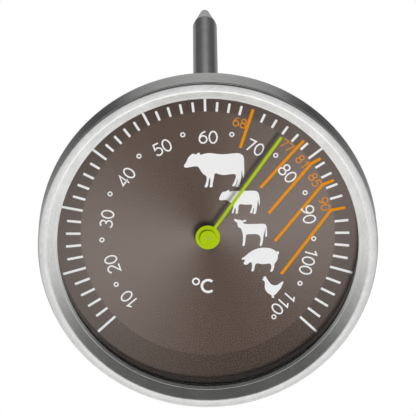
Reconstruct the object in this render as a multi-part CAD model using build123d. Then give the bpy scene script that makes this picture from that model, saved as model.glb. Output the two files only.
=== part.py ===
from build123d import *
from math import asin, degrees, sqrt
import os

# Dial meat thermometer, millimetres.
# X is right and +Z is the 12 o'clock mark when the dial is faced, and +Y runs back along the probe.
# The origin is on the probe's axis, where the stem leaves the collar behind the head.

# ---- head: outline seen from the front ----
HEAD_DIAMETER = 55.0
BEZEL_STEP = 0.1            # the bezel's side wall is this much inside the case's
BEZEL_EDGE_ROUND = 0.25
BEZEL_LIP_WIDTH = 1.05      # flat front lip
BEZEL_SLOPE_WIDTH = 1.36    # slope from the lip down to the inner edge, across
BEZEL_SLOPE_DEPTH = 1.36    # the same slope, front to back
BEZEL_INNER_EDGE = 0.35     # narrow flat around the viewing opening
BEZEL_INNER_ROUND = 0.12
BEZEL_SHEET = 0.5
BEZEL_SEAT_WIDTH = 0.6      # flat underside at the opening, which the gasket meets
BEZEL_SIDE_DEPTH = 0.3
BEZEL_GROOVE = 0.15         # dark line between the bezel and the case
SKIRT_WALL = 0.6
SKIRT_FIT = 0.05            # radial gap of the bezel's skirt in the case
STACK_FIT = 0.05            # radial gap of the glass and its rings in the skirt

# ---- head: what is stacked behind the bezel, front to back ----
GASKET_THICKNESS = 0.24
LENS_THICKNESS = 2.0
SPACER_THICKNESS = 0.9
DIAL_RIM_HEIGHT = 2.23
DIAL_RIM_WALL = 0.4
DIAL_MARGIN = 0.31          # the dial is this much larger in radius than the opening
DIAL_SHEET = 0.5
DIAL_GAP = 0.47             # from the thrust collar to the back of the dial
THRUST_COLLAR_LENGTH = 0.7
THRUST_FLOAT = 0.1          # end float of the spindle
BEARING_FLANGE = 0.5
SPIGOT_PROUD = 0.3          # the spigot stands this far past its nut
NUT_THICKNESS = 2.0
WASHER_THICKNESS = 0.5
CASE_WALL = 0.7
CASE_ROUND_GAP = 0.05       # the case's back round begins this far behind the bezel's skirt
CARRIER_SHEET = 0.6
CARRIER_FLANGE = 4.0
CARRIER_CLEARANCE = 0.2

# ---- collar behind the head ----
COLLAR_LENGTH = 6.0
COLLAR_WALL = 1.2           # spigot wall around the stem
COLLAR_FLANGE_WIDTH = 3.1   # the flange stands this far out of the spigot
COLLAR_FLANGE_THICKNESS = 1.2
COLLAR_NECK_STEP = 0.5      # the neck is this much larger in radius than the spigot
COLLAR_FILLET = 1.2
COLLAR_EDGE_ROUND = 0.5
SEAL_THICKNESS = 0.5
SEAL_INSET = 0.6            # the seal and the washer stay inside the flange's edge
SPIGOT_FIT = 0.05
NUT_ACROSS_FLATS = 11.5
NUT_CHAMFER = 0.3
WASHER_TEETH = 12
WASHER_NOTCH = 0.8

# ---- stem ----
STEM_DIAMETER = 4.44
STEM_LENGTH = 117.2         # from the collar to where the point begins
STEM_WALL = 0.42
STEM_FIT = 0.02
STEM_END_STEP = 0.2         # the tube is turned down this much in radius inside the collar
POINT_LENGTH = 10.5
POINT_NOSE_RADIUS = 0.85
TIP_SPIGOT_LENGTH = 4.0

# ---- movement ----
SPINDLE_DIAMETER = 1.0
SPINDLE_END_DIAMETER = 0.36
RUNNING_CLEARANCE = 0.03
PRESS_GAP = 0.01
BUSH_LENGTH = 3.0
BEARING_FLANGE_WIDTH = 1.0
GUIDE_FROM_COLLAR = 38.0
DIAL_HOLE_CLEARANCE = 0.6
THRUST_COLLAR_WALL = 0.7
ANCHOR_LENGTH = 2.0
COUPLING_LENGTH = 4.0
COUPLING_WALL = 0.6
COUPLING_BORE_LENGTH = 2.5
COUPLING_FLANGE = 1.0       # the end that the helix is joined to is as wide as the helix
COUPLING_FLOAT = 0.5        # from the lower bearing to the coupling
HELIX_TURNS = 14
HELIX_PITCH = 1.5
HELIX_STRIP_WIDTH = 1.1
HELIX_STRIP_THICKNESS = 0.2
HELIX_WALL_CLEARANCE = 0.2
HELIX_END_GAP = 0.05        # from the turning coupling
HELIX_ANCHOR_BITE = 0.15    # the last turn is held this deep in the anchor

# ---- pointer, heights above the face of the dial ----
POINTER_HEIGHT = 1.75
POINTER_SHEET = 0.3
POINTER_WIDTH = 0.48
POINTER_END_MARGIN = 4.05   # from the pointer's end to the dial's edge
POINTER_DISC_DIAMETER = 4.0
HUB_BOSS_DIAMETER = 2.7
HUB_BOSS_HEIGHT = 0.55
HUB_EDGE_ROUND = 0.12
HUB_SLEEVE_WALL = 0.4
HUB_SLEEVE_DROP = 0.55      # the sleeve reaches this far below the pointer
HUB_CAP = 0.4
SPINDLE_END_RECESS = 0.1    # the spindle's end lies this far below the top of the hub
SCALE_MIDDLE = 60.0         # degrees Celsius at 12 o'clock
SCALE_TURN = 2.66           # degrees of turn for one degree Celsius
REST_TEMPERATURE = 73.3

# ---- radii worked out from the sizes above ----
CASE_R = HEAD_DIAMETER / 2
CASE_INNER_R = CASE_R - CASE_WALL
BEZEL_R = CASE_R - BEZEL_STEP
OPENING_R = BEZEL_R - BEZEL_EDGE_ROUND - BEZEL_LIP_WIDTH - BEZEL_SLOPE_WIDTH - BEZEL_INNER_EDGE
SKIRT_R = CASE_INNER_R - SKIRT_FIT
SKIRT_INNER_R = SKIRT_R - SKIRT_WALL
STACK_R = SKIRT_INNER_R - STACK_FIT
DIAL_R = OPENING_R + DIAL_MARGIN
STEM_R = STEM_DIAMETER / 2
STEM_END_R = STEM_R - STEM_END_STEP
BORE_R = STEM_R - STEM_WALL
SPIGOT_R = STEM_R + COLLAR_WALL
FLANGE_R = SPIGOT_R + COLLAR_FLANGE_WIDTH
SEAL_R = FLANGE_R - SEAL_INSET
SPINDLE_R = SPINDLE_DIAMETER / 2
BEARING_BORE_R = SPINDLE_R + RUNNING_CLEARANCE

# ---- places along Y worked out from the stack ----
MOVEMENT_ROOM = (DIAL_GAP + THRUST_COLLAR_LENGTH + THRUST_FLOAT + BEARING_FLANGE
                 + SPIGOT_PROUD + NUT_THICKNESS + WASHER_THICKNESS)
Y_CASE_BACK = -COLLAR_LENGTH
Y_CASE_FLOOR = Y_CASE_BACK - CASE_WALL
Y_DIAL_BACK = Y_CASE_FLOOR - MOVEMENT_ROOM
Y_DIAL_FACE = Y_DIAL_BACK - DIAL_SHEET
Y_DIAL_RIM = Y_DIAL_FACE - DIAL_RIM_HEIGHT
Y_LENS_BACK = Y_DIAL_RIM - SPACER_THICKNESS
Y_LENS_FRONT = Y_LENS_BACK - LENS_THICKNESS
Y_SEAT = Y_LENS_FRONT - GASKET_THICKNESS
Y_OPENING = Y_SEAT - BEZEL_SHEET
Y_LIP = Y_OPENING - BEZEL_SLOPE_DEPTH
CASE_BACK_ROUND = Y_CASE_BACK - Y_DIAL_RIM - CASE_ROUND_GAP
Y_SPIGOT_END = Y_CASE_FLOOR - WASHER_THICKNESS - NUT_THICKNESS - SPIGOT_PROUD
Y_FLANGE = Y_CASE_BACK + SEAL_THICKNESS
Y_ANCHOR = STEM_LENGTH - TIP_SPIGOT_LENGTH - ANCHOR_LENGTH
Y_COUPLING_END = (Y_ANCHOR + HELIX_ANCHOR_BITE - HELIX_TURNS * HELIX_PITCH
                  - HELIX_STRIP_WIDTH - HELIX_END_GAP)
Y_COUPLING = Y_COUPLING_END - COUPLING_LENGTH
Y_POINTER = Y_DIAL_FACE - POINTER_HEIGHT
Y_HUB_TOP = Y_POINTER - POINTER_SHEET - HUB_BOSS_HEIGHT


def turned(points):
    """Solid of revolution about Y from a closed outline of (radius, y) points."""
    return revolve(make_face(Polyline(*points, close=True)), Axis.Y)


def turned_rounded(points, rounds):
    """As turned, with an arc at each listed corner: {corner's place in points: radius}."""
    outline = make_face(Polyline(*points, close=True))
    for index, radius in rounds.items():
        corner = outline.vertices().sort_by_distance(Vector(*points[index]))[0]
        outline = fillet(corner, radius)
    return revolve(outline, Axis.Y)


def ring(inner_r, outer_r, y_from, y_to):
    """Plain turned ring."""
    return turned([(inner_r, y_from), (outer_r, y_from), (outer_r, y_to), (inner_r, y_to)])


def disc(outer_r, y_from, y_to):
    """Plain round plate or rod."""
    return turned([(0, y_from), (outer_r, y_from), (outer_r, y_to), (0, y_to)])


def case_cup():
    """Spun steel cup with a large back round and a hole for the collar's spigot."""
    hole_r = SPIGOT_R + SPIGOT_FIT
    y_rim = Y_LIP + BEZEL_SIDE_DEPTH + BEZEL_GROOVE
    points = [(CASE_INNER_R, y_rim), (CASE_R, y_rim), (CASE_R, Y_CASE_BACK), (hole_r, Y_CASE_BACK),
              (hole_r, Y_CASE_FLOOR), (CASE_INNER_R, Y_CASE_FLOOR)]
    return turned_rounded(points, {2: CASE_BACK_ROUND, 5: CASE_BACK_ROUND - CASE_WALL})


def bezel_ring():
    """Pressed steel ring: flat lip, slope down to a narrow inner edge, and a skirt in the case."""
    lip_outer_r = BEZEL_R
    edge_r = OPENING_R + BEZEL_INNER_EDGE
    lip_inner_r = edge_r + BEZEL_SLOPE_WIDTH
    y_side = Y_LIP + BEZEL_SIDE_DEPTH
    slope = BEZEL_SLOPE_DEPTH / BEZEL_SLOPE_WIDTH
    seat_r = OPENING_R + BEZEL_SEAT_WIDTH
    y_corner = Y_SEAT - slope * (SKIRT_INNER_R - seat_r)
    points = [(lip_outer_r, Y_LIP), (lip_inner_r, Y_LIP), (edge_r, Y_OPENING), (OPENING_R, Y_OPENING),
              (OPENING_R, Y_SEAT), (seat_r, Y_SEAT), (SKIRT_INNER_R, y_corner),
              (SKIRT_INNER_R, Y_DIAL_RIM), (SKIRT_R, Y_DIAL_RIM), (SKIRT_R, y_side),
              (lip_outer_r, y_side)]
    return turned_rounded(points, {0: BEZEL_EDGE_ROUND, 1: BEZEL_EDGE_ROUND, 3: BEZEL_INNER_ROUND})


def lens_gasket():
    """Flat seal between the bezel's seat and the glass."""
    return ring(OPENING_R + DIAL_MARGIN, STACK_R, Y_SEAT, Y_LENS_FRONT)


def lens():
    """Flat round glass."""
    return disc(STACK_R, Y_LENS_FRONT, Y_LENS_BACK)


def lens_spacer():
    """Black ring that holds the glass off the dial's rim."""
    return ring(DIAL_R, STACK_R, Y_LENS_BACK, Y_DIAL_RIM)


def dial_plate():
    """Shallow pressed pan: round dial with an upturned rim and a hole for the spindle."""
    hole_r = SPINDLE_R + DIAL_HOLE_CLEARANCE
    outer_r = DIAL_R + DIAL_RIM_WALL
    return turned([(hole_r, Y_DIAL_FACE), (DIAL_R, Y_DIAL_FACE), (DIAL_R, Y_DIAL_RIM),
                   (outer_r, Y_DIAL_RIM), (outer_r, Y_DIAL_BACK), (hole_r, Y_DIAL_BACK)])


def dial_carrier():
    """Stepped ring of sheet that stands on the case's floor and carries the dial."""
    wall_r = CASE_R - CASE_BACK_ROUND - CARRIER_CLEARANCE
    wall_inner_r = wall_r - CARRIER_SHEET
    top_r = wall_r + CARRIER_FLANGE
    foot_r = wall_inner_r - CARRIER_FLANGE
    y_top = Y_DIAL_BACK + CARRIER_SHEET
    y_foot = Y_CASE_FLOOR - CARRIER_SHEET
    return turned([(wall_inner_r, Y_DIAL_BACK), (top_r, Y_DIAL_BACK), (top_r, y_top), (wall_r, y_top),
                   (wall_r, Y_CASE_FLOOR), (foot_r, Y_CASE_FLOOR), (foot_r, y_foot),
                   (wall_inner_r, y_foot)])


def stem_collar():
    """Turned collar: rounded neck around the stem, flange, and a spigot through the case."""
    bore_r = STEM_END_R + STEM_FIT
    neck_r = SPIGOT_R + COLLAR_NECK_STEP
    y_neck = Y_FLANGE + COLLAR_FLANGE_THICKNESS
    points = [(bore_r, Y_SPIGOT_END), (SPIGOT_R, Y_SPIGOT_END), (SPIGOT_R, Y_FLANGE),
              (FLANGE_R, Y_FLANGE), (FLANGE_R, y_neck), (neck_r, y_neck), (neck_r, 0), (bore_r, 0)]
    return turned_rounded(points, {4: COLLAR_EDGE_ROUND, 5: COLLAR_FILLET, 6: COLLAR_EDGE_ROUND})


def collar_seal():
    """Flat seal between the collar's flange and the back of the case."""
    return ring(SPIGOT_R + SPIGOT_FIT, SEAL_R, Y_CASE_BACK, Y_FLANGE)


def lock_washer():
    """Washer with notches cut in its edge, under the nut."""
    y_front = Y_CASE_FLOOR - WASHER_THICKNESS
    washer = ring(SPIGOT_R + SPIGOT_FIT, SEAL_R, y_front, Y_CASE_FLOOR)
    notch = Box(WASHER_NOTCH, WASHER_THICKNESS, WASHER_NOTCH)
    y_middle = (y_front + Y_CASE_FLOOR) / 2
    for index in range(WASHER_TEETH):
        turn = Rot(0, index * 360 / WASHER_TEETH, 0)
        washer -= turn * Pos(SEAL_R, y_middle, 0) * notch
    return washer


def collar_nut():
    """Hexagon nut that draws the collar against the case."""
    y_back = Y_CASE_FLOOR - WASHER_THICKNESS
    hexagon = RegularPolygon(NUT_ACROSS_FLATS / 2, 6, major_radius=False)
    seat = Plane(origin=(0, y_back, 0), x_dir=(1, 0, 0), z_dir=(0, -1, 0))
    nut = chamfer(extrude(seat * hexagon, NUT_THICKNESS).edges().group_by(Axis.Y)[0], NUT_CHAMFER)
    bore_r = SPIGOT_R + PRESS_GAP
    return nut - disc(bore_r, y_back - NUT_THICKNESS, y_back)


def stem_tube():
    """Straight tube to the point, with a turned-down end that seats in the collar."""
    return turned([(BORE_R, Y_SPIGOT_END), (STEM_END_R, Y_SPIGOT_END), (STEM_END_R, 0), (STEM_R, 0),
                   (STEM_R, STEM_LENGTH), (BORE_R, STEM_LENGTH)])


def probe_tip():
    """Pointed end: a cone from the stem that runs into a round nose, with a spigot in the tube."""
    spigot_r = BORE_R - PRESS_GAP
    y_tip = STEM_LENGTH + POINT_LENGTH
    nose = Vector(0, y_tip - POINT_NOSE_RADIUS)
    corner = Vector(STEM_R, STEM_LENGTH)
    to_nose = nose - corner
    offset = degrees(asin(POINT_NOSE_RADIUS / to_nose.length))
    along = to_nose.normalized().rotate(Axis.Z, -offset)
    join = corner + along * sqrt(to_nose.length ** 2 - POINT_NOSE_RADIUS ** 2)
    side = Line(corner, join)
    end = TangentArc(join, (0, y_tip), tangent=side % 1)
    y_spigot = STEM_LENGTH - TIP_SPIGOT_LENGTH
    back = Polyline((0, y_tip), (0, y_spigot), (spigot_r, y_spigot), (spigot_r, STEM_LENGTH),
                    (STEM_R, STEM_LENGTH))
    return revolve(make_face([side, end, *back.edges()]), Axis.Y)


def upper_bearing():
    """Flanged bush in the front end of the tube."""
    barrel_r = BORE_R - PRESS_GAP
    flange_r = BORE_R + BEARING_FLANGE_WIDTH
    y_flange = Y_SPIGOT_END - BEARING_FLANGE
    y_end = Y_SPIGOT_END + BUSH_LENGTH
    return turned([(BEARING_BORE_R, y_flange), (flange_r, y_flange), (flange_r, Y_SPIGOT_END),
                   (barrel_r, Y_SPIGOT_END), (barrel_r, y_end), (BEARING_BORE_R, y_end)])


def bush(y_from):
    """Plain bush pressed into the tube."""
    return ring(BEARING_BORE_R, BORE_R - PRESS_GAP, y_from, y_from + BUSH_LENGTH)


def spindle_guide():
    """Bush that steadies the long spindle near its middle."""
    return bush(GUIDE_FROM_COLLAR)


def lower_bearing():
    """Bush just above the bimetal helix."""
    return bush(Y_COUPLING - COUPLING_FLOAT - BUSH_LENGTH)


def helix_anchor():
    """Plug fixed in the tube that holds the still end of the bimetal helix."""
    return disc(BORE_R - PRESS_GAP, Y_ANCHOR, Y_ANCHOR + ANCHOR_LENGTH)


def bimetal_helix():
    """Strip of two bonded metals wound into a helix, which winds up as it warms."""
    middle_r = BORE_R - HELIX_WALL_CLEARANCE - HELIX_STRIP_THICKNESS / 2
    y_start = Y_COUPLING_END + HELIX_END_GAP + HELIX_STRIP_WIDTH / 2
    path = Helix(HELIX_PITCH, HELIX_TURNS * HELIX_PITCH, middle_r,
                 center=(0, y_start, 0), direction=(0, 1, 0))
    start = path @ 0
    outward = Vector(start.X, 0, start.Z).normalized()
    section = Plane(origin=start, x_dir=outward, z_dir=path % 0)
    strip = section * Rectangle(HELIX_STRIP_THICKNESS, HELIX_STRIP_WIDTH)
    return sweep(strip, path=path, is_frenet=True)


def spindle():
    """Thin shaft from the hub to the coupling, with a fine end in the hub's cap."""
    y_shoulder = Y_HUB_TOP + HUB_CAP
    y_front = Y_HUB_TOP + SPINDLE_END_RECESS
    y_end = Y_COUPLING + COUPLING_BORE_LENGTH
    end_r = SPINDLE_END_DIAMETER / 2
    return turned([(0, y_front), (end_r, y_front), (end_r, y_shoulder), (SPINDLE_R, y_shoulder),
                   (SPINDLE_R, y_end), (0, y_end)])


def spindle_collar():
    """Thrust collar on the spindle, between the upper bearing and the dial."""
    y_back = Y_SPIGOT_END - BEARING_FLANGE - THRUST_FLOAT
    return ring(SPINDLE_R + PRESS_GAP, SPINDLE_R + THRUST_COLLAR_WALL,
                y_back - THRUST_COLLAR_LENGTH, y_back)


def helix_coupling():
    """Cap on the spindle's end that the turning end of the helix drives."""
    barrel_r = SPINDLE_R + COUPLING_WALL
    flange_r = BORE_R - HELIX_WALL_CLEARANCE
    bore_r = SPINDLE_R + PRESS_GAP
    y_bore = Y_COUPLING + COUPLING_BORE_LENGTH + PRESS_GAP
    y_flange = Y_COUPLING_END - COUPLING_FLANGE
    return turned([(bore_r, Y_COUPLING), (barrel_r, Y_COUPLING), (barrel_r, y_flange),
                   (flange_r, y_flange), (flange_r, Y_COUPLING_END), (0, Y_COUPLING_END),
                   (0, y_bore), (bore_r, y_bore)])


def pointer_hub():
    """Turned hub: sleeve on the spindle, boss above the pointer, and a cap with a fine hole."""
    bore_r = SPINDLE_R + PRESS_GAP
    sleeve_r = bore_r + HUB_SLEEVE_WALL
    boss_r = HUB_BOSS_DIAMETER / 2
    hole_r = SPINDLE_END_DIAMETER / 2 + PRESS_GAP
    y_bottom = Y_POINTER + HUB_SLEEVE_DROP
    y_boss = Y_POINTER - POINTER_SHEET
    y_cap = Y_HUB_TOP + HUB_CAP - PRESS_GAP
    points = [(hole_r, Y_HUB_TOP), (boss_r, Y_HUB_TOP), (boss_r, y_boss), (sleeve_r, y_boss),
              (sleeve_r, y_bottom), (bore_r, y_bottom), (bore_r, y_cap), (hole_r, y_cap)]
    return turned_rounded(points, {1: HUB_EDGE_ROUND})


def pointer_needle():
    """Pointer stamped from sheet: round disc and a straight blade with a square end."""
    sleeve_r = SPINDLE_R + PRESS_GAP + HUB_SLEEVE_WALL
    reach = DIAL_R - POINTER_END_MARGIN
    clock_angle = (REST_TEMPERATURE - SCALE_MIDDLE) * SCALE_TURN
    blade = Rot(0, 0, -clock_angle) * Pos(0, reach / 2) * Rectangle(POINTER_WIDTH, reach)
    outline = Circle(POINTER_DISC_DIAMETER / 2) + blade - Circle(sleeve_r + PRESS_GAP)
    face = Plane(origin=(0, Y_POINTER, 0), x_dir=(1, 0, 0), z_dir=(0, -1, 0))
    return extrude(face * outline, POINTER_SHEET)


NODES = [case_cup, bezel_ring, lens_gasket, lens, lens_spacer, dial_plate, dial_carrier,
         stem_collar, collar_seal, lock_washer, collar_nut, stem_tube, probe_tip,
         upper_bearing, spindle_guide, lower_bearing, helix_anchor, bimetal_helix,
         spindle, spindle_collar, helix_coupling, pointer_hub, pointer_needle]

os.makedirs("parts", exist_ok=True)
for node in NODES:
    export_step(node(), f"parts/{node.__name__}.step")
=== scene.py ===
"""Looks of a dial meat thermometer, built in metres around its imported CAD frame.

X is right and +Z is 12 o'clock when the dial is faced, and +Y runs back along the probe.
Lengths on the classes are millimetres, and become metres where a mesh is made.
"""
import logging
import math
from dataclasses import dataclass, field
from enum import Enum
from typing import ClassVar, Sequence, Union

import bpy
import numpy as np
from mathutils import Matrix, Vector
from mathutils.geometry import tessellate_polygon


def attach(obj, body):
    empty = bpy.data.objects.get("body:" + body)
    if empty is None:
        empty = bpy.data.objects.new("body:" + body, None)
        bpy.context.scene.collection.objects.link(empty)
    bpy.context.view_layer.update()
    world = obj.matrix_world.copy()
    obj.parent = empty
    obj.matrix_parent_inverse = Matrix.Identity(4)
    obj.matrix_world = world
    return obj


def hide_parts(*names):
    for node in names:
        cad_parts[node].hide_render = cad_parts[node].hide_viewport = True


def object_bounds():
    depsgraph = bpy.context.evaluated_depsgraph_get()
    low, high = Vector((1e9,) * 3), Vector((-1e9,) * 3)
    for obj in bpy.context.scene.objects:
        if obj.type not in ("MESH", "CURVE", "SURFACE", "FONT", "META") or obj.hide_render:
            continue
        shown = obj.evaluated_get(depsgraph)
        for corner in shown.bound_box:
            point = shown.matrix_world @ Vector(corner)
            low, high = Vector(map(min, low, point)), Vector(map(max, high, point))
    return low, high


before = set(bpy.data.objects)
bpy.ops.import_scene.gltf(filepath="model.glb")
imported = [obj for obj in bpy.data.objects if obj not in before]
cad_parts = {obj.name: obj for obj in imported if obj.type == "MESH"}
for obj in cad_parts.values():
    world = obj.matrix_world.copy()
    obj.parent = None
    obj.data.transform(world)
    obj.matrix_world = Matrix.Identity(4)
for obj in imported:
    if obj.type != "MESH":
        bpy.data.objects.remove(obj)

log = logging.getLogger("thermometer")

MM = 0.001
CAD_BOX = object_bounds()
SHARP_ANGLE = 32.0
SHARPEST_BEND = 0.45
TINY = 1e-12
OFF_AXIS = 1e-4
DIAL_SHEET = 0.5
SKIRT_FIT = 0.05
RUNNING_FIT = 0.01

Colour = tuple[float, float, float]
Point = tuple[float, float]
Span = tuple[float, float]


class Body(Enum):
    """The record's bodies: what stands still and what turns."""

    FIXED = "head_and_probe"
    TURNING = "pointer"


# ---------------------------------------------------------------- numbers from the frame

def node_points(node: str) -> np.ndarray:
    """Vertices of a CAD node in millimetres, one (x, y, z) to a row."""
    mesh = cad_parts[node].data
    flat = np.empty(len(mesh.vertices) * 3, np.float32)
    mesh.vertices.foreach_get("co", flat)
    return flat.reshape(-1, 3) / MM


@dataclass(frozen=True)
class Extent:
    """Place of a turned CAD node in millimetres: its ends along Y, least and greatest radius."""

    front: float
    back: float
    inner: float
    outer: float

    @classmethod
    def of(cls, node: str) -> "Extent":
        """Measure a CAD node.

        Args:
            node: the node's name in the record.

        Returns:
            Its extent, with radii taken about the Y axis.
        """
        points = node_points(node)
        radius = np.hypot(points[:, 0], points[:, 2])
        return cls(float(points[:, 1].min()), float(points[:, 1].max()),
                   float(radius.min()), float(radius.max()))


# ---------------------------------------------------------------- surfaces

@dataclass
class Shape:
    """A closed surface as arrays: points in millimetres, four-sided faces and three-sided faces."""

    points: np.ndarray
    quads: np.ndarray = field(default_factory=lambda: np.empty((0, 4), int))
    triangles: np.ndarray = field(default_factory=lambda: np.empty((0, 3), int))

    def all_triangles(self) -> np.ndarray:
        """Every face as triangles, each quad cut along its first diagonal."""
        return np.vstack([self.triangles, self.quads[:, [0, 1, 2]], self.quads[:, [0, 2, 3]]])

    def volume(self) -> float:
        """A sixth of the sum of a . (b x c) over the triangles, above 0 when the faces point out."""
        a, b, c = (self.points[self.all_triangles()[:, k]] for k in range(3))
        return float(np.einsum("ij,ij->i", a, np.cross(b, c)).sum() / 6)

    def facing_out(self) -> "Shape":
        """The same shape with its faces turned to point outwards."""
        if self.volume() < 0:
            return Shape(self.points, self.quads[:, ::-1], self.triangles[:, ::-1])
        return self


def joined(shapes: Sequence[Shape]) -> Shape:
    """Put several shapes into one, each turned to face outwards first.

    Args:
        shapes: the closed shapes.

    Returns:
        One shape whose face indices are moved on by the points before them.
    """
    out = [shape.facing_out() for shape in shapes]
    starts = np.cumsum([0] + [len(shape.points) for shape in out[:-1]])
    return Shape(np.vstack([shape.points for shape in out]),
                 np.vstack([shape.quads + start for shape, start in zip(out, starts)]),
                 np.vstack([shape.triangles + start for shape, start in zip(out, starts)]))


def rounded(corners: Sequence[tuple[float, float, float]], closed: bool = True,
            steps: int = 7) -> np.ndarray:
    """Outline with its corners turned into arcs.

    A corner's arc has its middle on the line that halves the angle, radius / sin(half) away, and
    touches both sides radius / tan(half) from the corner.

    Args:
        corners: (radius from the axis, y, corner radius) in order round the outline.
        closed: True when the last corner runs on to the first.
        steps: points on each arc.

    Returns:
        The outline as an array of (radius, y).
    """
    places = np.array([corner[:2] for corner in corners], float)
    pieces = []
    for index, (radius_out, y, bend) in enumerate(corners):
        here = np.array((radius_out, y))
        at_end = not closed and index in (0, len(corners) - 1)
        if bend <= 0 or at_end:
            pieces.append(here[None])
            continue
        before = places[index - 1] - here
        after = places[(index + 1) % len(places)] - here
        before /= np.linalg.norm(before)
        after /= np.linalg.norm(after)
        half = np.arccos(np.clip(before @ after, -1, 1)) / 2
        middle = here + (before + after) / np.linalg.norm(before + after) * bend / np.sin(half)
        start, end = (here + side * bend / np.tan(half) - middle for side in (before, after))
        first = np.arctan2(start[1], start[0])
        turn = (np.arctan2(end[1], end[0]) - first + np.pi) % (2 * np.pi) - np.pi
        angles = first + turn * np.linspace(0, 1, steps)
        pieces.append(middle + bend * np.column_stack([np.cos(angles), np.sin(angles)]))
    return np.vstack(pieces)


def turned(profile: np.ndarray, closed: bool = True, around: int = 288) -> Shape:
    """Surface of revolution about Y: P(s, a) = (r(s) sin a, y(s), r(s) cos a).

    Args:
        profile: (radius, y) points, a ring's closed outline or a line from the axis to the axis.
        closed: True for a ring, False for a shape that meets the axis at both ends.
        around: steps of the angle a.

    Returns:
        The closed shape.
    """
    angle = np.linspace(0, 2 * np.pi, around, endpoint=False)
    body = profile if closed else profile[1:-1]
    rows = len(body)
    grid = np.stack([np.outer(body[:, 0], np.sin(angle)),
                     np.repeat(body[:, 1:2], around, axis=1),
                     np.outer(body[:, 0], np.cos(angle))], axis=-1)
    row = np.arange(rows if closed else rows - 1)[:, None]
    column = np.arange(around)[None]
    following = (column + 1) % around
    lower = (row + 1) % rows
    quads = np.stack([row * around + column, row * around + following,
                      lower * around + following, lower * around + column], axis=-1).reshape(-1, 4)
    points = grid.reshape(-1, 3)
    if closed:
        return Shape(points, quads).facing_out()
    poles = np.array([[0, profile[0, 1], 0], [0, profile[-1, 1], 0]])
    column = np.arange(around)
    following = (column + 1) % around
    last = (rows - 1) * around
    first_fan = np.column_stack([np.full(around, rows * around), following, column])
    last_fan = np.column_stack([np.full(around, rows * around + 1), last + column, last + following])
    return Shape(np.vstack([points, poles]), quads, np.vstack([first_fan, last_fan])).facing_out()


def ribbon(path: np.ndarray, width: float, front: float, back: float, closed: bool = False) -> Shape:
    """Flat bar carried along a path in the dial's plane.

    The sides lie half the width off the path, on the line that halves each bend, and half the
    width over the cosine of half the bend keeps the bar as wide in the bend.

    Args:
        path: (x, z) points along the middle of the bar.
        width: across the bar.
        front: y of the face to the front.
        back: y of the face to the back.
        closed: True when the path's end meets its start.

    Returns:
        The closed shape.
    """
    step = np.roll(path, -1, axis=0) - path
    step /= np.linalg.norm(step, axis=1, keepdims=True) + TINY
    arriving, leaving = np.roll(step, 1, axis=0), step
    if not closed:
        arriving[0], leaving[-1] = leaving[0], arriving[-1]
    along = arriving + leaving
    along /= np.linalg.norm(along, axis=1, keepdims=True)
    stretch = 1 / np.clip((along * leaving).sum(axis=1, keepdims=True), SHARPEST_BEND, 1)
    side = np.column_stack([-along[:, 1], along[:, 0]]) * stretch * width / 2
    ring = np.stack([path + side, path - side, path - side, path + side], axis=1)
    depth = np.broadcast_to(np.array([front, front, back, back]), ring.shape[:2])
    points = np.stack([ring[..., 0], depth, ring[..., 1]], axis=-1).reshape(-1, 3)
    count = len(path)
    row = np.arange(count if closed else count - 1)[:, None] * 4
    corner = np.arange(4)[None]
    following = (corner + 1) % 4
    lower = (row + 4) % (4 * count)
    quads = np.stack([row + corner, row + following, lower + following, lower + corner], axis=-1)
    quads = quads.reshape(-1, 4)
    if not closed:
        end = 4 * (count - 1)
        quads = np.vstack([quads, [[3, 2, 1, 0], [end, end + 1, end + 2, end + 3]]])
    return Shape(points, quads).facing_out()


def filled(outline: np.ndarray, front: float, back: float) -> Shape:
    """Plate with the given outline: the front and back faces in triangles, and a wall between them.

    Args:
        outline: (x, z) points round the plate, without the first repeated.
        front: y of the face to the front.
        back: y of the face to the back.

    Returns:
        The closed shape.
    """
    count = len(outline)
    fan = np.array(tessellate_polygon([[Vector((x, z, 0)) for x, z in outline]]), int)
    faces = [np.column_stack([outline[:, 0], np.full(count, y), outline[:, 1]])
             for y in (front, back)]
    here = np.arange(count)
    following = (here + 1) % count
    a, b, c = (np.column_stack([outline[fan[:, k]], np.zeros(len(fan))]) for k in range(3))
    leaning = np.cross(b - a, c - a)[:, 2].sum() > 0
    x, z = outline.T
    around = np.sum(x * np.roll(z, -1) - z * np.roll(x, -1)) > 0
    wall = np.column_stack([here, following, following + count, here + count])
    if leaning != around:
        wall = wall[:, ::-1]
    both_fans = np.vstack([fan, fan[:, ::-1] + count])
    return Shape(np.vstack(faces), wall[:, ::-1], both_fans).facing_out()


def corner_cut(outline: Sequence[Point], rounds: int = 2) -> np.ndarray:
    """Soften a closed outline: each side a-b gives 3/4 a + 1/4 b and 1/4 a + 3/4 b, each round."""
    points = np.array(outline, float)
    for _ in range(rounds):
        after = np.roll(points, -1, axis=0)
        pairs = np.stack([0.75 * points + 0.25 * after, 0.25 * points + 0.75 * after], axis=1)
        points = pairs.reshape(-1, 2)
    return points


def oval(middle: Point, radii: Point, start: float = 0.0, end: float = 360.0,
         steps: int = 32) -> np.ndarray:
    """Points (cx + rx cos t, cy + ry sin t) of an oval, from one angle to another in degrees."""
    whole = abs(end - start) >= 360
    t = np.radians(np.linspace(start, end, steps, endpoint=not whole))
    return np.column_stack([middle[0] + radii[0] * np.cos(t), middle[1] + radii[1] * np.sin(t)])


def bow(start: Point, pull: Point, end: Point, steps: int = 12) -> np.ndarray:
    """Curve (1-t)^2 a + 2t(1-t) b + t^2 c that leaves a and reaches c, drawn towards b."""
    t = np.linspace(0, 1, steps)[:, None]
    a, b, c = (np.array(place, float) for place in (start, pull, end))
    return (1 - t) ** 2 * a + 2 * t * (1 - t) * b + t ** 2 * c


def clock(angle: float, radius: float) -> np.ndarray:
    """Place (x, z) on the dial at an angle clockwise from 12 o'clock, in degrees, and a radius."""
    return radius * np.array([math.sin(math.radians(angle)), math.cos(math.radians(angle))])


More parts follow.
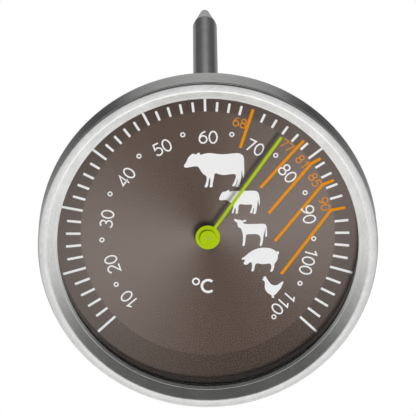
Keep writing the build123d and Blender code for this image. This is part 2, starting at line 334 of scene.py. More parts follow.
# ---------------------------------------------------------------- shader maths

Input = Union[float, int, Sequence[float], "Value", bpy.types.NodeSocket]


class Value:
    """A number socket that takes part in arithmetic."""

    def __init__(self, graph: "Graph", socket: bpy.types.NodeSocket) -> None:
        """Wrap a socket of a graph."""
        self.graph = graph
        self.socket = socket

    def math(self, operation: str, *others: Input) -> "Value":
        """This value and up to two others through one Math node."""
        return self.graph.math(operation, self, *others)

    def __add__(self, other: Input) -> "Value":
        """Sum."""
        return self.math("ADD", other)

    __radd__ = __add__

    def __sub__(self, other: Input) -> "Value":
        """Difference."""
        return self.math("SUBTRACT", other)

    def __rsub__(self, other: Input) -> "Value":
        """Difference with this value taken off the other."""
        return self.graph.math("SUBTRACT", other, self)

    def __mul__(self, other: Input) -> "Value":
        """Product."""
        return self.math("MULTIPLY", other)

    __rmul__ = __mul__

    def __truediv__(self, other: Input) -> "Value":
        """Quotient."""
        return self.math("DIVIDE", other)

    def __rtruediv__(self, other: Input) -> "Value":
        """Quotient of the other by this value."""
        return self.graph.math("DIVIDE", other, self)

    def __pow__(self, other: Input) -> "Value":
        """Power."""
        return self.math("POWER", other)

    def clamped(self) -> "Value":
        """This value held between 0 and 1."""
        return self.math("MAXIMUM", 0.0).math("MINIMUM", 1.0)

    def step(self, start: float, end: float) -> "Value":
        """Smooth rise from 0 at start to 1 at end: t t (3 - 2 t)."""
        t = ((self - start) / (end - start)).clamped()
        return t * t * (3.0 - 2.0 * t)

    def tone(self) -> bpy.types.NodeSocket:
        """The grey whose three channels are this value."""
        return self.graph.vector(self, self, self)


class Graph:
    """A node tree, emptied and built up again."""

    def __init__(self, tree: bpy.types.NodeTree) -> None:
        """Take over a tree."""
        self.tree = tree
        tree.nodes.clear()

    def node(self, kind: str, settings: dict[str, object] | None = None,
             inputs: dict[str | int, Input] | None = None) -> bpy.types.Node:
        """Add a node.

        Args:
            kind: the node's full type name.
            settings: properties set first.
            inputs: numbers, colours, values or sockets by socket name or place.

        Returns:
            The node.
        """
        made = self.tree.nodes.new(kind)
        for name, setting in (settings or {}).items():
            setattr(made, name, setting)
        for name, given in (inputs or {}).items():
            self._feed(made.inputs[name], given)
        return made

    def _feed(self, socket: bpy.types.NodeSocket, given: Input) -> None:
        """Link or set one input socket."""
        if isinstance(given, Value):
            given = given.socket
        if isinstance(given, bpy.types.NodeSocket):
            self.tree.links.new(given, socket)
        elif isinstance(given, (int, float)):
            socket.default_value = given
        else:
            room = len(socket.default_value)
            socket.default_value = (*given, 1.0)[:room]

    def output(self, kind: str, inputs: dict[str | int, Input]) -> bpy.types.NodeSocket:
        """Add a node and give its first output."""
        return self.node(kind, {}, inputs).outputs[0]

    def math(self, operation: str, *given: Input) -> Value:
        """One Math node on one to three values."""
        made = self.node("ShaderNodeMath", {"operation": operation}, dict(enumerate(given)))
        return Value(self, made.outputs[0])

    def mix(self, factor: Input, first: Input, second: Input,
            blend: str = "MIX") -> bpy.types.NodeSocket:
        """Mix two colours."""
        made = self.node("ShaderNodeMix", {"data_type": "RGBA", "blend_type": blend},
                         {0: factor, 6: first, 7: second})
        return made.outputs[2]

    def vector(self, x: Input, y: Input, z: Input) -> bpy.types.NodeSocket:
        """Put three values together as a vector."""
        return self.output("ShaderNodeCombineXYZ", {0: x, 1: y, 2: z})

    def split(self, vector: Input) -> tuple[Value, Value, Value]:
        """The three parts of a vector."""
        x, y, z = self.node("ShaderNodeSeparateXYZ", {}, {0: vector}).outputs
        return Value(self, x), Value(self, y), Value(self, z)

    def place(self) -> tuple[Value, Value, Value]:
        """The object coordinates of the point, in millimetres."""
        coordinates = self.node("ShaderNodeTexCoord").outputs["Object"]
        return self.split(self.node("ShaderNodeVectorMath", {"operation": "SCALE"},
                                    {0: coordinates, "Scale": 1 / MM}).outputs[0])

    def noise(self, vector: Input, scale: float, detail: float = 2.0,
              roughness: float = 0.5) -> Value:
        """Noise of about 0 to 1 at a vector in millimetres."""
        return Value(self, self.output("ShaderNodeTexNoise", {
            "Vector": vector, "Scale": scale, "Detail": detail, "Roughness": roughness}))

    def bump(self, height: Value, strength: float, distance: float) -> bpy.types.NodeSocket:
        """Normal of a height field, with the full height in metres as distance."""
        return self.output("ShaderNodeBump",
                           {"Strength": strength, "Distance": distance, "Height": height})

    def finish(self, shader: bpy.types.NodeSocket, output: str = "ShaderNodeOutputMaterial") -> None:
        """Link a shader to the tree's output."""
        self.node(output, {}, {0: shader})


def linear(red: int, green: int, blue: int) -> Colour:
    """Linear colour of a display colour on the 0 to 255 scale."""
    def one(level: float) -> float:
        """Undo the display curve of one channel."""
        return level / 12.92 if level <= 0.04045 else ((level + 0.055) / 1.055) ** 2.4

    return one(red / 255), one(green / 255), one(blue / 255)


# ---------------------------------------------------------------- finishes

@dataclass(frozen=True)
class Finish:
    """A surface finish, by the name of the record's material slot."""

    slot: str

    def material(self) -> bpy.types.Material:
        """The finish as a material, made the first time it is asked for."""
        name = f"{self.slot}_finish"
        known = bpy.data.materials.get(name)
        if known:
            return known
        made = bpy.data.materials.new(name)
        made.use_nodes = True
        graph = Graph(made.node_tree)
        graph.finish(self.shader(graph))
        return made

    def shader(self, graph: Graph) -> bpy.types.NodeSocket:
        """Build the shader.

        Args:
            graph: the material's emptied node tree.

        Returns:
            The shader's output socket.
        """
        raise NotImplementedError


def principled(graph: Graph, inputs: dict[str | int, Input]) -> bpy.types.NodeSocket:
    """The Principled shader with some of its inputs set or linked."""
    return graph.output("ShaderNodeBsdfPrincipled", inputs)


@dataclass(frozen=True)
class BrushedMetal(Finish):
    """Metal with fine lines round the axis, left by polishing or turning."""

    dark: Colour
    light: Colour
    roughness: float = 0.3
    line_scale: float = 14.0
    line_stretch: float = 0.06
    line_radius: float = 26.0
    streaks: float = 1.8
    line_roughness: float = 0.16
    cloud_scale: float = 0.35
    cloud_tone: float = 0.5
    cloud_roughness: float = 0.08
    bump_height: float = 2e-6

    def shader(self, graph: Graph) -> bpy.types.NodeSocket:
        """Noise at (x / r, y - r, z / r), so drawn out round the axis, in each of the inputs."""
        x, y, z = graph.place()
        radius = (x * x + z * z).math("SQRT") + OFF_AXIS
        reach = self.line_stretch * self.line_radius
        lines_at = graph.vector(x / radius * reach, y - radius, z / radius * reach)
        lines = graph.noise(lines_at, self.line_scale, 3.0, 0.62)
        clouds = graph.noise(graph.vector(x, y, z), self.cloud_scale, 2.0)
        tone = (0.5 + (lines - 0.5) * self.streaks + (clouds - 0.5) * self.cloud_tone).clamped()
        unevenness = (lines - 0.5) * self.line_roughness + (clouds - 0.5) * self.cloud_roughness
        return principled(graph, {
            "Base Color": self.shaded(graph, graph.mix(tone, self.dark, self.light), radius, y),
            "Metallic": 1.0,
            "Roughness": (self.roughness + unevenness).clamped(),
            "Normal": graph.bump(lines, 0.5, self.bump_height),
        })

    def shaded(self, graph: Graph, colour: bpy.types.NodeSocket, radius: Value,
               y: Value) -> bpy.types.NodeSocket:
        """The colour with painted shade laid on, which plain brushed metal has nowhere."""
        return colour


@dataclass(frozen=True)
class BezelSteel(BrushedMetal):
    """Brushed steel with painted shade over its flat lip and outer edge, and on its side past the
    corner.

    Each span is a start and an end, measured out from the corner or back from the front.
    """

    front_y: float = -19.0
    corner_radius: float = 27.25
    # Painted shade on the side past the corner: the level it keeps, over these radii and depths.
    dull: float = 0.15
    side_span: Span = (0.0, 0.1)
    depth_span: Span = (0.06, 0.2)
    # Painted shade over the flat lip and over the outer corner's edge.
    lip_wear: float = 0.2
    lip_span: Span = (-0.9, 0.0)
    edge_wear: float = 0.4
    edge_span: Span = (-0.05, 0.15)

    def shaded(self, graph: Graph, colour: bpy.types.NodeSocket, radius: Value,
               y: Value) -> bpy.types.NodeSocket:
        """The colour times (1 - lip)(1 - edge)(1 - side) of painted shade, each share rising over
        its span.
        """
        front, back = (self.front_y + end for end in self.depth_span)
        side = self.past(radius, self.side_span) * y.step(front, back)
        lip = self.past(radius, self.lip_span)
        edge = self.past(radius, self.edge_span)
        # Painted shade: the colour is darkened over the lip, the edge and the side.
        level = ((1.0 - side * (1.0 - self.dull)) * (1.0 - lip * self.lip_wear)
                 * (1.0 - edge * self.edge_wear))
        return graph.mix(1.0, colour, level.tone(), "MULTIPLY")

    def past(self, radius: Value, span: Span) -> Value:
        """Rise from 0 to 1 over a span of radii about the corner."""
        return radius.step(self.corner_radius + span[0], self.corner_radius + span[1])


@dataclass(frozen=True)
class SunrayPaint(Finish):
    """Brown metallic paint with a painted sheen fanning from the middle, a darker ring outside and
    painted shade on its wall.
    """

    # Dark and light ends of the painted sheen, and the clock angle of its bright sectors.
    dark: Colour = linear(86, 72, 64)
    light: Colour = linear(123, 112, 106)
    bright_at: float = 75.0
    ray_scale: float = 9.0
    ray_drift: float = 0.02
    ray_tone: float = 0.1
    grain_scale: float = 9.0
    grain_tone: float = 0.02
    ring_radius: float = 20.72
    ring_blur: float = 0.06
    ring_tone: float = 0.74
    # Painted shade on the pan's upturned wall, from this depth back, and its share.
    wall_y: float = -11.9
    wall_blur: float = 0.3
    wall_shade: float = 0.1
    roughness: float = 0.42
    gloss: float = 0.12
    bump_height: float = 4e-6

    def shader(self, graph: Graph) -> bpy.types.NodeSocket:
        """Painted sheen 1/2 + 1/2 cos 2(a - bright) round the dial, darker on the outer ring,
        painted shade on the wall.
        """
        x, y, z = graph.place()
        square = x * x + z * z + OFF_AXIS
        double = math.radians(2 * self.bright_at)
        cosine = (z * z - x * x) / square
        sine = 2.0 * (x * z) / square
        # Painted highlight: the sheen's bright and dark sectors are painted into the colour by angle
        # round the dial.
        fan = 0.5 + 0.5 * (cosine * math.cos(double) + sine * math.sin(double))
        radius = square.math("SQRT")
        rays_at = graph.vector(x / radius * self.ray_scale, radius * self.ray_drift,
                               z / radius * self.ray_scale)
        rays = graph.noise(rays_at, 1.0, 4.0, 0.6)
        grain = graph.noise(graph.vector(x, y, z), self.grain_scale, 2.0)
        tone = (fan + (rays - 0.5) * self.ray_tone + (grain - 0.5) * self.grain_tone).clamped()
        outer = radius.step(self.ring_radius - self.ring_blur, self.ring_radius + self.ring_blur)
        # Painted shade: the upturned wall is darkened in the colour.
        wall = (self.wall_y - y).step(0.0, self.wall_blur)
        # The printed outer ring's darker tone times the painted shade on the wall.
        shade = (1.0 - outer * (1.0 - self.ring_tone)) * (1.0 - wall * self.wall_shade)
        painted = graph.mix(tone, self.dark, self.light)
        return principled(graph, {
            "Base Color": graph.mix(1.0, painted, shade.tone(), "MULTIPLY"),
            "Roughness": self.roughness + (grain - 0.5) * 0.12,
            "Metallic": 0.0,
            "Specular IOR Level": self.gloss,
            "Normal": graph.bump(grain, 0.06, self.bump_height),
        })


@dataclass(frozen=True)
class Paint(Finish):
    """Opaque paint, printing ink, rubber or plastic with a fine uneven skin."""

    colour: Colour
    shade: Colour
    roughness: float
    grain_scale: float
    bump_height: float
    gloss: float
    cloud_ratio: float = 0.07
    middle_tone: float = 0.62
    grain_tone: float = 0.5
    cloud_tone: float = 0.6

    def shader(self, graph: Graph) -> bpy.types.NodeSocket:
        """Two sizes of noise for the skin, in colour, roughness and height."""
        x, y, z = graph.place()
        here = graph.vector(x, y, z)
        grain = graph.noise(here, self.grain_scale, 3.0, 0.6)
        clouds = graph.noise(here, self.grain_scale * self.cloud_ratio, 2.0)
        tone = (self.middle_tone + (grain - 0.5) * self.grain_tone
                + (clouds - 0.5) * self.cloud_tone).clamped()
        return principled(graph, {
            "Base Color": graph.mix(tone, self.shade, self.colour),
            "Roughness": (self.roughness + (grain - 0.5) * 0.15).clamped(),
            "Specular IOR Level": self.gloss,
            "Normal": graph.bump(grain, 0.4, self.bump_height),
        })


@dataclass(frozen=True)
class FlatGlass(Finish):
    """Coated glass that reflects as m + (1 - m) f^5, with f from 0 facing to 1 edge on."""

    tint: Colour = (0.995, 0.995, 0.995)
    mirror: float = 0.003

    def shader(self, graph: Graph) -> bpy.types.NodeSocket:
        """Clear and mirrored light mixed by the angle, with wiping marks in the roughness."""
        x, y, z = graph.place()
        wiped = graph.noise(graph.vector(x * 0.2, y, z), 0.6, 3.0)
        weight = graph.node("ShaderNodeLayerWeight", {}, {"Blend": 0.5})
        facing = Value(graph, weight.outputs["Facing"])
        share = (self.mirror + (1 - self.mirror) * facing ** 5.0).clamped()
        clear = graph.output("ShaderNodeBsdfTransparent", {"Color": self.tint})
        glossy = principled(graph, {"Base Color": (1.0, 1.0, 1.0), "Metallic": 1.0,
                                    "Roughness": (0.03 + wiped * 0.04).clamped()})
        return graph.output("ShaderNodeMixShader", {0: share, 1: clear, 2: glossy})


@dataclass(frozen=True)
class BimetalStrip(Finish):
    """Strip whose outer metal is pale steel and whose inner metal is a warmer bronze."""

    steel: Colour = linear(186, 188, 190)
    bronze: Colour = linear(172, 140, 96)
    rolled: Colour = (0.2, 0.17, 0.14)
    rolled_share: float = 0.4
    parting_radius: float = 1.5
    parting_blur: float = 0.02

    def shader(self, graph: Graph) -> bpy.types.NodeSocket:
        """Colour by the distance from the axis, with rolling lines along the strip."""
        x, y, z = graph.place()
        radius = (x * x + z * z).math("SQRT")
        outside = radius.step(self.parting_radius - self.parting_blur,
                              self.parting_radius + self.parting_blur)
        lines = graph.noise(graph.vector(x * 0.4, y * 3.0, z * 0.4), 8.0, 3.0)
        base = graph.mix(outside, self.bronze, self.steel)
        return principled(graph, {
            "Base Color": graph.mix(lines * self.rolled_share, base, self.rolled),
            "Metallic": 1.0,
            "Roughness": 0.3 + lines * 0.15,
            "Normal": graph.bump(lines, 0.3, 2e-6),
        })


CASE_STEEL = BrushedMetal("case_steel", linear(160, 159, 158), linear(200, 199, 198), line_scale=7.0)
BEZEL_STEEL = BezelSteel("bezel_steel", linear(200, 200, 199), linear(252, 252, 251), 0.42,
                        line_scale=6.0, line_stretch=0.2, streaks=1.2)
STEM_STEEL = BrushedMetal("stem_steel", linear(190, 190, 189), linear(222, 222, 221), 0.2)
INNER_STEEL = BrushedMetal("inner_steel", linear(150, 150, 150), linear(180, 180, 180), 0.38)
BEARING_BRASS = BrushedMetal("bearing_brass", linear(186, 146, 74), linear(214, 178, 104), 0.3)
BIMETAL = BimetalStrip("bimetal_strip")
CLEAR_GLASS = FlatGlass("clear_glass")
SEAL_RUBBER = Paint("seal_rubber", linear(46, 44, 42), linear(34, 33, 32), 0.7, 5.0, 8e-6, 0.3)
# Black plastic, painted darker still as shade from the bezel, which casts no shadow.
SPACER_BLACK_WITH_PAINTED_SHADE = Paint("spacer_black", linear(20, 18, 17), linear(13, 12, 12), 0.5, 5.0, 5e-6, 0.15)
DIAL_BROWN = SunrayPaint("dial_brown")
WHITE_INK = Paint("dial_white_ink", linear(240, 240, 240), linear(228, 228, 228), 0.6, 7.0,
                  3e-6, 0.1)
ORANGE_INK = Paint("dial_orange_ink", linear(228, 143, 0), linear(216, 134, 0), 0.6, 7.0, 3e-6, 0.05)
POINTER_GREEN = Paint("pointer_green", linear(172, 198, 0), linear(158, 182, 0), 0.45, 7.0,
                      5e-6, 0.12)


# ---------------------------------------------------------------- pieces

def add_piece(name: str, shape: Shape, finish: Finish, body: Body = Body.FIXED,
              stands_for: Sequence[str] = (), mirrored: bool = True) -> bpy.types.Object:
    """Make a piece from a shape, dress it and put it on its body.

    Args:
        name: the piece's name.
        shape: its closed surface in millimetres.
        finish: what it is finished with.
        body: the CAD body it moves with.
        stands_for: the CAD nodes it takes the place of.
        mirrored: False for a piece that the head's own metal doesn't show again.

    Returns:
        The new object.
    """
    mesh = bpy.data.meshes.new(name)
    shape = shape.facing_out()
    faces = shape.quads.tolist() + shape.triangles.tolist()
    mesh.from_pydata((shape.points * MM).tolist(), [], faces)
    mesh.shade_smooth()
    mesh.set_sharp_from_angle(angle=math.radians(SHARP_ANGLE))
    mesh.materials.append(finish.material())
    piece = bpy.data.objects.new(name, mesh)
    bpy.context.scene.collection.objects.link(piece)
    even = piece.modifiers.new("even_normals", "WEIGHTED_NORMAL")
    even.weight = 80
    even.keep_sharp = True
    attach(piece, body.value)
    piece.visible_glossy = mirrored
    if stands_for:
        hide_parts(*stands_for)
    log.info("%s: %d faces on %s, %s", name, len(mesh.polygons), body.value, finish.slot)
    return piece


def dress_node(node: str, finish: Finish) -> None:
    """Give a CAD node its finish."""
    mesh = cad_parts[node].data
    mesh.materials.clear()
    mesh.materials.append(finish.material())
    log.info("%s: CAD node, %s", node, finish.slot)


@dataclass
class Head:
    """Case, bezel, glass, its rings and the dial pan.

    The third number of each corner in an outline is its round.
    """

    edge_round: float = 0.22
    lip_round: float = 0.45
    slope: float = 1.36
    inner_edge: float = 0.35
    edge_drop: float = 0.36
    edge_line: float = 0.05
    sheet: float = 0.5
    seat_width: float = 0.6
    side_depth: float = 0.3
    skirt_wall: float = 0.6
    case_wall: float = 0.7
    case_edge_round: float = 0.12
    back_round_gap: float = 0.05
    glass_edge_round: float = 0.2
    pan_edge_round: float = 0.12
    pan_back_round: float = 0.5
    pan_fillet: float = 0.25

    def build(self) -> None:
        """Make every piece of the head."""
        self.bezel()
        self.case()
        self.rings()
        self.glass()
        self.dial_pan()

    def bezel(self) -> None:
        """Pressed ring: flat lip, slope, narrow inner edge and the skirt inside the case."""
        at = Extent.of("bezel_ring")
        edge = at.inner + self.inner_edge
        slope_top = edge + self.slope
        opening = at.front + self.slope
        seat = opening + self.sheet
        skirt = Extent.of("case_cup").outer - self.case_wall - SKIRT_FIT
        skirt_inner = skirt - self.skirt_wall
        underside = seat - (skirt_inner - at.inner - self.seat_width)
        side = at.front + self.side_depth
        outline = rounded([
            (at.outer, at.front, self.edge_round), (slope_top, at.front, self.lip_round),
            (edge + self.edge_line, opening, 0.03), (edge, opening, 0.03),
            (at.inner, opening + self.edge_drop, 0.08), (at.inner, seat, 0.04),
            (at.inner + self.seat_width, seat, 0.04), (skirt_inner, underside, 0.1),
            (skirt_inner, at.back, 0.08), (skirt, at.back, 0.08), (skirt, side, 0.05),
            (at.outer, side, 0.05)])
        bezel = add_piece("bezel", turned(outline), BEZEL_STEEL, stands_for=["bezel_ring"],
                          mirrored=False)
        bezel.visible_shadow = False

    def case(self) -> None:
        """Spun cup with a large back round."""
        at = Extent.of("case_cup")
        back_round = at.back - Extent.of("bezel_ring").back - self.back_round_gap
        floor = at.back - self.case_wall
        inside = at.outer - self.case_wall
        outline = rounded([
            (inside, at.front, self.case_edge_round), (at.outer, at.front, self.case_edge_round),
            (at.outer, at.back, back_round), (at.inner, at.back, 0.1), (at.inner, floor, 0.1),
            (inside, floor, back_round - self.case_wall)], steps=20)
        add_piece("case", turned(outline), CASE_STEEL, stands_for=["case_cup"], mirrored=False)

    def rings(self) -> None:
        """Gasket in front of the glass and the black ring behind it, with eased edges."""
        for node, name, finish, ease in (("lens_gasket", "glass_gasket", SEAL_RUBBER, 0.06),
                                         ("lens_spacer", "glass_spacer", SPACER_BLACK_WITH_PAINTED_SHADE, 0.15)):
            at = Extent.of(node)
            outline = rounded([(at.inner, at.front, ease), (at.outer, at.front, ease),
                               (at.outer, at.back, ease), (at.inner, at.back, ease)])
            ring = add_piece(name, turned(outline), finish, stands_for=[node], mirrored=False)
            ring.visible_shadow = False

    def glass(self) -> None:
        """Flat round glass with ground edges."""
        at = Extent.of("lens")
        outline = rounded([(0, at.front, 0), (at.outer, at.front, self.glass_edge_round),
                           (at.outer, at.back, self.glass_edge_round), (0, at.back, 0)],
                          closed=False, steps=4)
        add_piece("glass", turned(outline, closed=False), CLEAR_GLASS, stands_for=["lens"],
                  mirrored=False)

    def dial_pan(self) -> None:
        """Shallow pan: flat dial, a small fillet and the upturned rim."""
        at = Extent.of("dial_plate")
        face = at.back - DIAL_SHEET
        wall = Extent.of("lens_spacer").inner
        outline = rounded([
            (at.inner, face, 0.05), (wall, face, self.pan_fillet),
            (wall, at.front, self.pan_edge_round), (at.outer, at.front, self.pan_edge_round),
            (at.outer, at.back, self.pan_back_round), (at.inner, at.back, 0.05)])
        add_piece("dial", turned(outline), DIAL_BROWN, stands_for=["dial_plate"], mirrored=False)


@dataclass
class Lettering:
    """Plain numerals and a C drawn with one line, on a height of 1.

    Each figure is its width and its strokes, each a path and whether the path is closed. Strokes
    that cross lie on layers of their own, so that no two faces share a plane.
    """

    gap: float = 0.2
    layer_step: float = 0.004
    figures: ClassVar[dict[str, tuple[float, list[tuple[np.ndarray, bool]]]]] = {
        "0": (0.64, [(oval((0.32, 0.5), (0.32, 0.5)), True)]),
        "1": (0.56, [(np.array([(0.1, 0.8), (0.4, 1.0), (0.4, 0.0)]), False)]),
        "2": (0.62, [(np.vstack([oval((0.31, 0.7), (0.29, 0.3), 165, -38, 18),
                                 [(0.02, 0.0), (0.62, 0.0)]]), False)]),
        "3": (0.6, [(oval((0.28, 0.76), (0.26, 0.24), 150, -90, 18), False),
                    (oval((0.28, 0.265), (0.31, 0.265), 90, -150, 20), False)]),
        "4": (0.66, [(np.array([(0.5, 0.0), (0.5, 1.0), (0.0, 0.27), (0.66, 0.27)]), False)]),
        "5": (0.6, [(np.vstack([[(0.56, 1.0), (0.12, 1.0), (0.07, 0.56)],
                                oval((0.29, 0.32), (0.31, 0.32), 125, -150, 20)]), False)]),
        "6": (0.62, [(oval((0.31, 0.31), (0.31, 0.31)), True),
                     (bow((0.0, 0.34), (0.02, 0.86), (0.5, 0.99)), False)]),
        "7": (0.58, [(np.array([(0.0, 1.0), (0.58, 1.0), (0.2, 0.0)]), False)]),
        "8": (0.62, [(oval((0.31, 0.76), (0.25, 0.24)), True),
                     (oval((0.31, 0.265), (0.31, 0.265)), True)]),
        "9": (0.62, [(oval((0.31, 0.69), (0.31, 0.31)), True),
                     (bow((0.62, 0.66), (0.6, 0.14), (0.12, 0.01)), False)]),
        "C": (0.78, [(oval((0.5, 0.5), (0.5, 0.5), 48, 312, 30), False)]),
    }

    def width(self, text: str) -> float:
        """Width of a line of text on a height of 1."""
        return sum(self.figures[letter][0] for letter in text) + self.gap * (len(text) - 1)

    def write(self, text: str, middle: np.ndarray, up: np.ndarray, height: float, line: float,
              front: float, back: float) -> list[Shape]:
        """Write a text with its middle at a place and its top towards a direction.

        Args:
            text: the letters.
            middle: (x, z) of the middle of the text.
            up: unit (x, z) direction of the letters' tops.
            height: of the letters, outside to outside.
            line: width of the line.
            front: y of the face to the front.
            back: y of the face to the back.

        Returns:
            One shape for each stroke.
        """
        across = np.array([up[1], -up[0]])
        scale = height - line
        pen = -self.width(text) / 2
        shapes = []
        for letter in text:
            wide, strokes = self.figures[letter]
            for layer, (stroke, closed) in enumerate(strokes):
                sized = (stroke + [pen, -0.5]) * scale
                path = middle + sized[:, :1] * across + sized[:, 1:] * up
                shapes.append(ribbon(path, line, front - layer * self.layer_step, back, closed))
            pen += wide + self.gap
        return shapes


# Clock angles of the marks at 10, 20 ... 110 degrees, as a bimetal scale is not quite even, and
# the radii that the short marks near them end at.
TENS_ANGLES = [-132.7, -105.9, -78.7, -52.2, -27.0, -0.9, 24.8, 52.3, 79.1, 106.1, 133.6]
SHORT_ENDS = [22.95, 23.4, 22.9, 22.45, 22.4, 22.35, 22.25, 22.35, 22.9, 23.25, 23.2]
# (value, clock angle, radius of its middle)
NUMERALS = [(10, -131, 17.0), (20, -108, 16.4), (30, -80.8, 16.6), (40, -53.6, 16.4),
            (50, -26.4, 16.4), (60, 0.5, 16.37), (70, 27.8, 16.5), (80, 51.9, 16.5),
            (90, 79, 16.7), (100, 106.4, 17.05), (110, 133.9, 17.1)]
DONENESS_VALUES = [(68, 15.7, 19.5), (77, 40.8, 19.65), (81, 51.7, 19.6), (85, 62.5, 19.6),
                   (90, 75.4, 19.6)]
# Paths in from the scale: clock places, and (x, z) in millimetres beside each animal
DONENESS_LINES = [
    [clock(19.5, 22.29), clock(20.1, 15.5)],
    [clock(44.9, 22.2), clock(45, 20.35), (8.59, 7.78)],
    [clock(55.4, 22.3), clock(54.9, 20.6), (9.9, 3.42)],
    [clock(66.3, 22.4), clock(66.2, 20.4), (10.92, -1.32)],
    [clock(79, 22.8), clock(79, 20.4), (11.94, -6.95)],
]
ANIMALS: dict[str, list[Point]] = {
    "ox_mark": [
        (-3.85, 11.6), (-3.4, 12.2), (-3.15, 12.95), (-2.4, 13.7), (-1.8, 13.4), (-1.5, 13.8),
        (-1.2, 13.75), (-1.3, 13.35), (-0.2, 13.65), (0.5, 13.72), (1.9, 13.48), (3.0, 13.48),
        (4.0, 13.62), (5.0, 13.68), (5.6, 13.45), (5.95, 12.9), (5.95, 11.5), (5.98, 10.3),
        (5.85, 9.1), (5.6, 10.3), (5.58, 10.9), (5.5, 10.3), (5.5, 9.6), (5.3, 8.7), (5.1, 7.9),
        (4.5, 7.9), (4.7, 8.3), (5.0, 9.5), (4.75, 8.9), (4.5, 8.05), (3.9, 8.05), (4.3, 8.7),
        (4.75, 10.05), (4.0, 10.15), (3.4, 10.05), (2.65, 9.93), (1.9, 10.1), (1.15, 10.4),
        (1.0, 9.2), (0.8, 8.4), (0.85, 7.9), (0.25, 7.9), (0.45, 8.4), (0.42, 9.75), (0.2, 9.1),
        (0.05, 7.9), (-0.55, 7.9), (-0.3, 8.5), (-0.12, 9.2), (-0.15, 9.85), (-0.8, 10.2),
        (-1.4, 11.3), (-1.75, 11.52), (-2.85, 11.35), (-3.3, 11.22), (-3.75, 11.32)],
    "cow_mark": [
        (1.85, 6.0), (2.1, 6.6), (2.4, 7.12), (3.05, 7.18), (3.35, 7.48), (3.55, 7.35),
        (3.5, 7.08), (4.0, 7.28), (5.5, 7.24), (7.5, 7.3), (8.05, 7.18), (8.35, 6.7), (8.52, 5.6),
        (8.42, 4.55), (8.28, 5.2), (8.2, 6.0), (8.12, 5.3), (8.0, 4.3), (7.82, 3.3), (7.35, 3.3),
        (7.5, 3.8), (7.6, 4.6), (7.35, 4.0), (7.3, 3.45), (6.8, 3.45), (7.1, 4.1), (7.32, 5.0),
        (6.3, 4.88), (5.1, 5.06), (5.0, 4.5), (4.9, 3.35), (4.5, 3.35), (4.6, 3.9), (4.5, 4.5),
        (4.28, 4.0), (4.2, 3.45), (3.85, 3.45), (4.1, 4.2), (4.22, 4.7), (3.9, 5.1), (3.3, 5.62),
        (2.9, 5.78), (2.35, 5.68), (1.9, 5.72)],
    "calf_mark": [
        (4.2, 2.56), (4.6, 2.48), (4.95, 2.34), (5.4, 2.34), (5.6, 2.14), (5.95, 2.36),
        (6.28, 2.36), (6.25, 2.0), (5.65, 1.95), (5.8, 1.68), (6.7, 1.6), (8.5, 1.66),
        (9.2, 1.66), (9.55, 1.35), (9.63, 0.4), (9.66, -0.62), (9.3, -0.6), (9.42, 0.5),
        (9.38, 1.15), (9.28, 0.4), (9.05, -0.4), (9.0, -1.1), (8.78, -2.14), (8.38, -2.14),
        (8.6, -1.3), (8.6, -0.6), (8.15, -0.08), (7.0, -0.1), (6.25, -0.12), (6.15, -0.8),
        (6.02, -2.14), (5.58, -2.14), (5.73, -1.3), (5.7, 0.0), (5.45, 0.8), (5.2, 1.05),
        (4.98, 1.02), (4.85, 1.4), (4.8, 1.9), (4.45, 2.02)],
    "pig_mark": [
        (5.4, -4.3), (6.0, -3.92), (6.7, -3.28), (7.5, -2.78), (8.4, -2.46), (9.3, -2.42),
        (10.2, -2.52), (10.9, -2.88), (11.15, -3.2), (11.3, -3.02), (11.6, -3.1), (11.56, -3.6),
        (11.36, -3.55), (11.42, -4.1), (11.25, -4.7), (10.8, -5.2), (10.82, -5.7), (10.55, -6.55),
        (10.1, -6.55), (10.32, -6.0), (10.35, -5.5), (10.1, -5.08), (8.95, -5.3), (7.9, -5.0),
        (7.62, -5.5), (7.5, -6.48), (6.98, -6.44), (7.2, -5.9), (7.15, -4.9), (6.8, -4.9),
        (6.45, -5.32), (5.9, -5.32), (5.78, -5.0), (6.02, -4.7), (5.98, -4.42), (5.6, -4.46)],
    "hen_mark": [
        (9.0, -7.4), (9.42, -7.3), (9.6, -7.75), (10.0, -8.35), (10.4, -8.8), (10.95, -8.92),
        (11.5, -8.72), (11.9, -8.35), (12.3, -8.15), (12.25, -8.6), (12.02, -8.95), (11.95, -9.3),
        (11.5, -9.85), (11.15, -10.3), (10.75, -10.6), (10.7, -10.85), (10.95, -11.02),
        (10.3, -11.02), (10.45, -10.62), (10.0, -10.4), (9.5, -9.95), (9.22, -9.35), (9.3, -8.4),
        (9.18, -8.12), (8.8, -7.9), (9.05, -7.72)],
}


